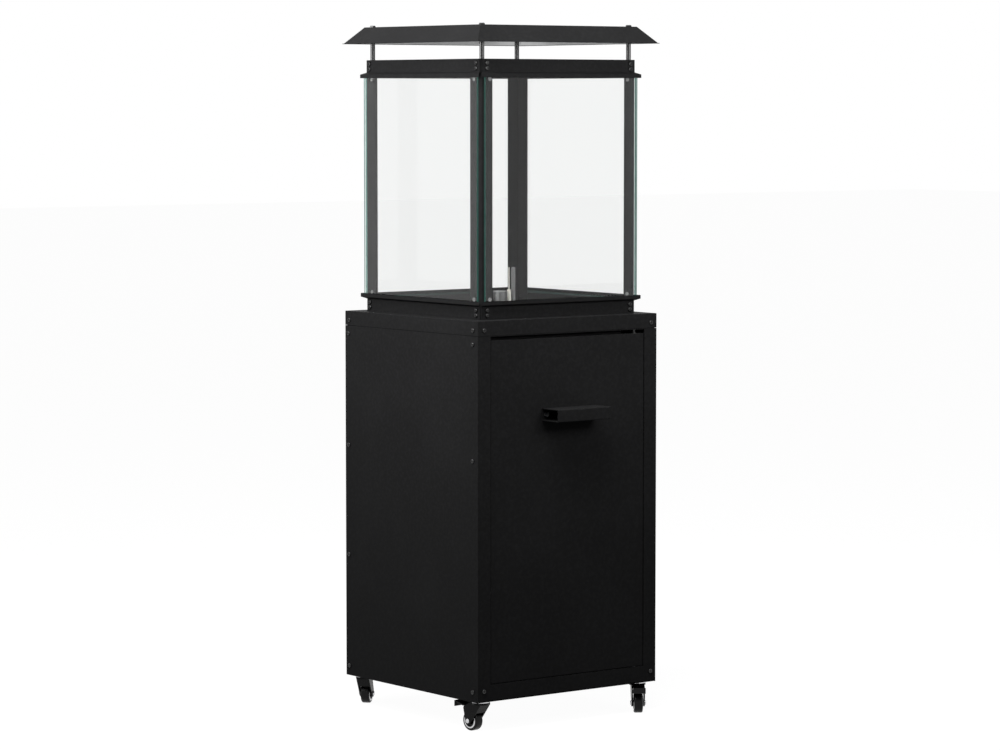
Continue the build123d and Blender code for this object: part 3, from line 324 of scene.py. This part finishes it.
def pane_edge_group():
    """Mask of a pane's cut edges, from how far a point is from the pane's middle; the edges get a
    painted glow.
    """
    group, given, result = node_group(
        "Pane edge",
        [("Color", "Color"), ("Edge Color", "Color"), ("Glow", "Color"), ("Middle", "Vector"),
         ("Half Width", "Float"), ("Half Height", "Float")],
        [("Color", "Color"), ("Roughness", "Float"), ("Glow", "Color")],
    )
    away = group.nodes.new("ShaderNodeVectorMath")
    away.operation = "SUBTRACT"
    group.links.new(object_vector(group), away.inputs[0])
    group.links.new(given.outputs["Middle"], away.inputs[1])
    split = group.nodes.new("ShaderNodeSeparateXYZ")
    group.links.new(away.outputs["Vector"], split.inputs["Vector"])
    away_x, away_y, away_z = (math_node(group, "ABSOLUTE", split.outputs[axis], 0.0) for axis in "XYZ")
    sideways = math_node(group, "MAXIMUM", away_x, away_y)
    aside = math_node(group, "GREATER_THAN", sideways, given.outputs["Half Width"])
    beyond = math_node(group, "GREATER_THAN", away_z, given.outputs["Half Height"])
    mask = math_node(group, "MAXIMUM", aside, beyond)
    color = mix_color(group, mask, given.outputs["Color"], given.outputs["Edge Color"])
    # Painted glow: the cut edges emit the glow colour, and the rest of the pane emits black.
    painted_glow = mix_color(group, mask, BLACK, given.outputs["Glow"])
    film = spread(group, noise(group, object_vector(group), *GLASS_FILM), FILM_ROUGHNESS)
    cut = math_node(group, "MULTIPLY", mask, CUT_EDGE_ROUGHNESS)
    rough = math_node(group, "ADD", cut, film)
    give(group, result, Color=color, Roughness=rough, Glow=painted_glow)
    return group


def group_named(name, make):
    """Shared group, made when it is first asked for."""
    return bpy.data.node_groups.get(name) or make()


def opaque(color):
    return (*color, 1.0)


def patterned(name, group, values, relief=0.0, **sockets):
    """Principled material that takes its pattern from one shared group."""
    material = bpy.data.materials.new(name)
    material.use_nodes = True
    tree = material.node_tree
    shader = tree.nodes["Principled BSDF"]
    effect = tree.nodes.new("ShaderNodeGroup")
    effect.node_tree = group
    for label, value in values.items():
        effect.inputs[label].default_value = value
    for label, fed in SHADER_FEEDS.items():
        if label in effect.outputs:
            tree.links.new(effect.outputs[label], shader.inputs[fed])
    if relief:
        bump = tree.nodes.new("ShaderNodeBump")
        bump.inputs["Distance"].default_value = relief
        bump.inputs["Strength"].default_value = RELIEF_STRENGTH
        tree.links.new(effect.outputs["Height"], bump.inputs["Height"])
        tree.links.new(bump.outputs["Normal"], shader.inputs["Normal"])
    for label, value in sockets.items():
        shader.inputs[label.replace("_", " ")].default_value = value
    return material


def coat_material(finishes):
    values = {
        "Color": opaque(finishes.coat),
        "Rubbed Color": opaque(finishes.coat_rub),
        "Grain": finishes.coat_grain,
    }
    group = group_named("Sprayed coat", coating_group)
    return patterned("Black powder coat", group, values, relief=COAT_RELIEF, IOR=finishes.coat_gloss)


def metal_material(name, color, roughness, dull=0.7):
    """Metal whose colour clouds towards a duller shade."""
    shade = tuple(channel * dull for channel in color)
    values = {"Color": opaque(color), "Dull Color": opaque(shade), "Lowest Roughness": roughness}
    return patterned(name, group_named("Drawn metal", brushed_group), values, relief=METAL_RELIEF,
                     Metallic=1.0)


def moulded_material(name, color, roughness, scuff=1.8, **sockets):
    """Plastic, rubber or black plating whose scuffs are lighter or darker by a factor."""
    worn = tuple(min(1.0, channel * scuff) for channel in color)
    values = {"Color": opaque(color), "Scuffed Color": opaque(worn), "Lowest Roughness": roughness}
    return patterned(name, group_named("Moulding", moulded_group), values, relief=MOULDING_RELIEF,
                     **sockets)


def glass_material(finishes, node):
    """Clear glass whose cut edges are found from the size of one pane."""
    low, high = (Vector(corner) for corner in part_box(node))
    half = (high - low) / 2
    values = {
        "Color": opaque(finishes.glass),
        "Edge Color": opaque(finishes.glass_edge),
        # The cut edges' glow is painted light, emitted at Emission Strength 1.
        "Glow": opaque(finishes.painted_edge_glow),
        "Middle": (low + high) / 2,
        "Half Width": max(half.x, half.y) - finishes.arris,
        "Half Height": half.z - finishes.arris,
    }
    name = node.replace("_", " ").capitalize()
    return patterned(name, group_named("Pane edge", pane_edge_group), values, Transmission_Weight=1.0,
                     IOR=GLASS_INDEX, Emission_Strength=1.0)


def dress(material, names):
    """Give CAD nodes a finish."""
    for name in names:
        slots = frame["nodes"][name].data.materials
        slots.clear()
        slots.append(material)


def deselect():
    """Leave edit mode with nothing selected."""
    if bpy.context.mode != "OBJECT":
        bpy.ops.object.mode_set(mode="OBJECT")
    bpy.ops.object.select_all(action="DESELECT")


def pick(test, elements="faces"):
    """In edit mode, select only the faces or edges that pass the test."""
    mesh = bmesh.from_edit_mesh(bpy.context.object.data)
    for face in mesh.faces:
        face.select_set(False)
    for edge in mesh.edges:
        edge.select_set(False)
    for element in getattr(mesh, elements):
        if test(element):
            element.select_set(True)
    bmesh.update_edit_mesh(bpy.context.object.data)


def model_wheel(name, joint, node, sizes, tread, ring):
    """Wheel from a cylinder: rounded tread, bright side rings, raised hub and a bored axle hole."""
    low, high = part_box(node)
    radius = (high[2] - low[2]) / 2
    ring_edge = radius - sizes.shoulder - sizes.wall
    ring_middle = ring_edge - (sizes.ring_rise + sizes.ring) / 2
    hub_face = ring_edge - sizes.ring_rise - sizes.ring - 2 * sizes.slope - sizes.web - sizes.bore
    axis = Vector(joint["axis"])
    heading = math.atan2(axis.y, axis.x) - math.pi / 2

    def on_rim(edge):
        first, second = (vert.co.z for vert in edge.verts)
        return abs(abs(first) - sizes.width / 2) < SAME_PLACE and abs(first - second) < SAME_PLACE

    def on_side(face):
        return abs(face.normal.z) > LEVEL and len(face.verts) > MOST_WALL_SIDES

    def on_ring(face):
        away = math.hypot(*face.calc_center_median().xy)
        near = abs(away - ring_middle) < sizes.ring / 2 + sizes.ring_rise
        return near and abs(face.normal.z) > HALF_LEVEL

    deselect()
    bpy.ops.mesh.primitive_cylinder_add(vertices=sizes.segments, radius=radius, depth=sizes.width,
                                        location=joint["pos_m"], rotation=(math.pi / 2, 0, heading))
    wheel = bpy.context.object
    wheel.name = name
    bpy.ops.object.mode_set(mode="EDIT")
    bpy.ops.mesh.select_mode(type="EDGE")
    pick(on_rim, "edges")
    bpy.ops.mesh.bevel(offset=sizes.shoulder, segments=SHOULDER_STEPS, profile=0.5)
    bpy.ops.mesh.select_mode(type="FACE")
    pick(on_side)
    for thickness, depth in (
        (sizes.wall, 0),
        (sizes.ring_rise, sizes.ring_rise),
        (sizes.ring, 0),
        (sizes.slope, -sizes.recess),
        (sizes.web, 0),
        (sizes.slope, sizes.hub),
        (hub_face, 0),
    ):
        bpy.ops.mesh.inset(thickness=thickness, depth=depth)
    bpy.ops.mesh.bridge_edge_loops()
    wheel.data.materials.append(tread)
    wheel.data.materials.append(ring)
    pick(on_ring)
    wheel.active_material_index = len(wheel.data.materials) - 1
    bpy.ops.object.material_slot_assign()
    bpy.ops.mesh.select_all(action="SELECT")
    bpy.ops.mesh.normals_make_consistent(inside=False)
    bpy.ops.object.mode_set(mode="OBJECT")
    bpy.ops.object.transform_apply(location=True, rotation=True, scale=True)
    bpy.ops.object.shade_smooth_by_angle(angle=SMOOTH_ANGLE)
    return wheel


class HEATER_OT_sheet_metal(bpy.types.Operator):
    """Coat the cabinet, door, lantern and roof sheets"""

    bl_idname = "heater.sheet_metal"
    bl_label = "Sheet Metal"

    def execute(self, context):
        material = coat_material(context.scene.heater_finishes)
        dress(material, [
            "base_plate", "left_side_panel", "right_side_panel", "back_panel", "front_frame", "top_lid",
            "door_panel", "door_handle", "lantern_rails", "lantern_floor", "control_bracket", "roof_cap",
        ])
        dress(material, [f"post_{corner}" for corner in CORNERS])
        return {"FINISHED"}


class HEATER_OT_fasteners(bpy.types.Operator):
    """Finish screws, nuts, rods, hinge parts and the catch"""

    bl_idname = "heater.fasteners"
    bl_label = "Fasteners"

    def execute(self, context):
        finishes = context.scene.heater_finishes
        black = moulded_material("Blackened steel", finishes.blackened, roughness=0.15,
                                 Specular_IOR_Level=0.35)
        dress(black, ["cabinet_screws", "lantern_screws", "roof_rods", "roof_cap_nuts", "hinge_pins"])
        zinc = metal_material("Zinc-plated steel", finishes.steel, roughness=0.24)
        dress(zinc, ["handle_bolts", "catch_strike", "roof_bolts"])
        dress(moulded_material("Black nylon", finishes.nylon, roughness=0.4), ["hinge_bushes"])
        dress(moulded_material("Magnet housing", finishes.moulded, roughness=0.4), ["catch_magnet"])
        return {"FINISHED"}


class HEATER_OT_glass(bpy.types.Operator):
    """Finish the four panes and their pads"""

    bl_idname = "heater.glass"
    bl_label = "Glass"

    def execute(self, context):
        finishes = context.scene.heater_finishes
        for node in ("glass_left", "glass_right", "glass_front", "glass_back"):
            dress(glass_material(finishes, node), [node])
        pads = moulded_material("Grey silicone", finishes.silicone, roughness=0.4, scuff=0.9)
        dress(pads, ["glass_pads"])
        return {"FINISHED"}


class HEATER_OT_burner(bpy.types.Operator):
    """Finish the reflector, burner, pilot and gas parts"""

    bl_idname = "heater.burner"
    bl_label = "Burner and Reflector"

    def execute(self, context):
        finishes = context.scene.heater_finishes
        rolled = metal_material("Rolled aluminium", finishes.aluminium, roughness=0.25, dull=0.88)
        dress(rolled, ["roof_reflector"])
        toned = tuple(HEAT_TONE * channel for channel in finishes.steel)
        heated = metal_material("Heat-toned steel", toned, roughness=0.35)
        dress(heated, ["burner_tube", "burner_cap", "pilot_bracket", "thermocouple"])
        glaze = moulded_material("Glazed ceramic", finishes.ceramic, roughness=0.12, scuff=0.85)
        dress(glaze, ["igniter_electrode"])
        brass = metal_material("Brass", finishes.brass, roughness=0.25)
        dress(brass, ["gas_injector", "gas_valve", "feed_pipe", "gas_inlet"])
        return {"FINISHED"}


class HEATER_OT_controls(bpy.types.Operator):
    """Finish the knob, its stem and the igniter"""

    bl_idname = "heater.controls"
    bl_label = "Controls"

    def execute(self, context):
        finishes = context.scene.heater_finishes
        black = moulded_material("Moulded black", finishes.moulded, roughness=0.32)
        dress(black, ["control_knob", "igniter_body"])
        dress(metal_material("Turned brass", finishes.brass, roughness=0.2), ["valve_stem"])
        dress(moulded_material("Moulded red", finishes.button, roughness=0.25), ["igniter_button"])
        return {"FINISHED"}


class HEATER_OT_casters(bpy.types.Operator):
    """Model the four wheels and finish forks, axles and pedals"""

    bl_idname = "heater.casters"
    bl_label = "Casters"

    def execute(self, context):
        finishes = context.scene.heater_finishes
        tread = moulded_material("Wheel rubber", finishes.tread, roughness=0.3, scuff=2.2,
                                 Specular_IOR_Level=0.15)
        ring = metal_material("Polished ring", finishes.steel, roughness=0.12)
        fork = moulded_material("Black plated steel", finishes.blackened, roughness=0.25,
                                Specular_IOR_Level=0.08)
        rivets = metal_material("Bright rivets", finishes.steel, roughness=0.15)
        pedals = moulded_material("Moulded pedals", finishes.blackened, roughness=0.35,
                                  Specular_IOR_Level=0.15)
        dress(fork, [f"caster_fork_{corner}" for corner in CORNERS])
        dress(rivets, [f"caster_axle_{corner}" for corner in CORNERS] + ["caster_stems"])
        dress(pedals, ["brake_pedal_front_left", "brake_pedal_front_right"])
        for corner in CORNERS:
            node = f"caster_wheel_{corner}"
            wheel = model_wheel(f"tread_wheel_{corner}", JOINTS[f"roll_{corner}"], node,
                                context.scene.heater_wheels, tread, ring)
            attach(wheel, f"wheel_{corner}")
            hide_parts(node)
        return {"FINISHED"}


def seen_white(tree, plain, shown):
    """Strength that is plain for the light on things, and shown to camera, mirror and glass."""
    path = tree.nodes.new("ShaderNodeLightPath")
    seen = math_node(tree, "MAXIMUM", path.outputs["Is Camera Ray"], path.outputs["Is Glossy Ray"])
    seen = math_node(tree, "MAXIMUM", seen, path.outputs["Is Transmission Ray"])
    return spread(tree, seen, ((0.0, 1.0), (plain, shown)))


def lay_floor(stage):
    """Wide floor that takes a shadow and is seen nearly white."""
    deselect()
    bpy.ops.mesh.primitive_plane_add(size=FLOOR_WIDTH, location=(0, 0, 0))
    floor = bpy.context.object
    floor.name = "studio_floor"
    paint = bpy.data.materials.new("Studio floor")
    paint.use_nodes = True
    tree = paint.node_tree
    shader = tree.nodes["Principled BSDF"]
    shader.inputs["Base Color"].default_value = opaque([stage.floor_shade] * 3)
    shader.inputs["Roughness"].default_value = FLOOR_ROUGHNESS
    shader.inputs["Specular IOR Level"].default_value = 0.0
    shader.inputs["Emission Color"].default_value = WHITE
    tree.links.new(seen_white(tree, 0.0, stage.floor_seen), shader.inputs["Emission Strength"])
    floor.data.materials.append(paint)


def surround_scene(scene, stage):
    """World that gives soft light and is seen white."""
    world = bpy.data.worlds.new("Studio surround")
    world.use_nodes = True
    scene.world = world
    tree = world.node_tree
    back = tree.nodes["Background"]
    back.inputs["Color"].default_value = WHITE
    tree.links.new(seen_white(tree, stage.surround, 1.0), back.inputs["Strength"])


def soft_light(name, place, aim, size, power, beam=math.pi):
    """Square area light that faces a point."""
    data = bpy.data.lights.new(name, "AREA")
    data.shape = "SQUARE"
    data.size = size
    data.energy = power
    data.spread = beam
    lamp = bpy.data.objects.new(name, data)
    bpy.context.collection.objects.link(lamp)
    lamp.location = place
    lamp.rotation_mode = "QUATERNION"
    lamp.rotation_quaternion = (Vector(aim) - Vector(place)).to_track_quat("-Z", "Y")


def place_camera(scene, stage):
    """Camera of the catalogue view, with a long lens and a small shift."""
    data = bpy.data.cameras.new("catalogue_camera")
    data.lens = stage.lens
    data.sensor_width = SENSOR_WIDTH
    data.shift_y = stage.shift
    data.clip_end = FARTHEST_SEEN
    camera = bpy.data.objects.new("catalogue_camera", data)
    bpy.context.collection.objects.link(camera)
    level = math.cos(stage.elevation)
    back = Vector((math.sin(stage.azimuth) * level, -math.cos(stage.azimuth) * level,
                   math.sin(stage.elevation)))
    camera.location = Vector((0, 0, stage.aim_height)) + back * stage.distance
    camera.rotation_mode = "QUATERNION"
    camera.rotation_quaternion = (-back).to_track_quat("-Z", "Y")
    scene.camera = camera


class HEATER_OT_stage(bpy.types.Operator):
    """Build the floor, world, lights and camera"""

    bl_idname = "heater.stage"
    bl_label = "Stage"

    def execute(self, context):
        stage = context.scene.heater_stage
        lay_floor(stage)
        surround_scene(context.scene, stage)
        soft_light("top_light", TOP_LIGHT_PLACE, TOP_LIGHT_AIM, TOP_LIGHT_SIZE, stage.top)
        for name, place, power in (
            ("left_light", LEFT_LIGHT_PLACE, stage.left),
            ("right_light", RIGHT_LIGHT_PLACE, stage.right),
        ):
            soft_light(name, place, SIDE_LIGHT_AIM, SIDE_LIGHT_SIZE, power, stage.side_spread)
        place_camera(context.scene, stage)
        context.scene.view_settings.view_transform = "Standard"
        return {"FINISHED"}


STEPS = (
    HEATER_OT_sheet_metal,
    HEATER_OT_fasteners,
    HEATER_OT_glass,
    HEATER_OT_burner,
    HEATER_OT_controls,
    HEATER_OT_casters,
    HEATER_OT_stage,
)


class HEATER_PT_panel(bpy.types.Panel):
    """Buttons for every step and the values behind them"""

    bl_label = "Patio Heater"
    bl_idname = "HEATER_PT_panel"
    bl_space_type = "VIEW_3D"
    bl_region_type = "UI"
    bl_category = "Heater"

    def draw(self, context):
        for step in STEPS:
            self.layout.operator(step.bl_idname)
        for name in GROUPS:
            box = self.layout.box()
            for key in GROUPS[name].__annotations__:
                box.prop(getattr(context.scene, name), key)


GROUPS = {"heater_finishes": HeaterFinishes, "heater_wheels": HeaterWheels, "heater_stage": HeaterStage}
CLASSES = tuple(GROUPS.values()) + STEPS + (HEATER_PT_panel,)


def register():
    for item in CLASSES:
        bpy.utils.register_class(item)
    for name, group in GROUPS.items():
        setattr(bpy.types.Scene, name, PointerProperty(type=group))


def unregister():
    for name in GROUPS:
        delattr(bpy.types.Scene, name)
    for item in reversed(CLASSES):
        bpy.utils.unregister_class(item)


def main():
    register()
    for step in STEPS:
        area, call = step.bl_idname.split(".")
        getattr(getattr(bpy.ops, area), call)()


if __name__ == "__main__":
    main()
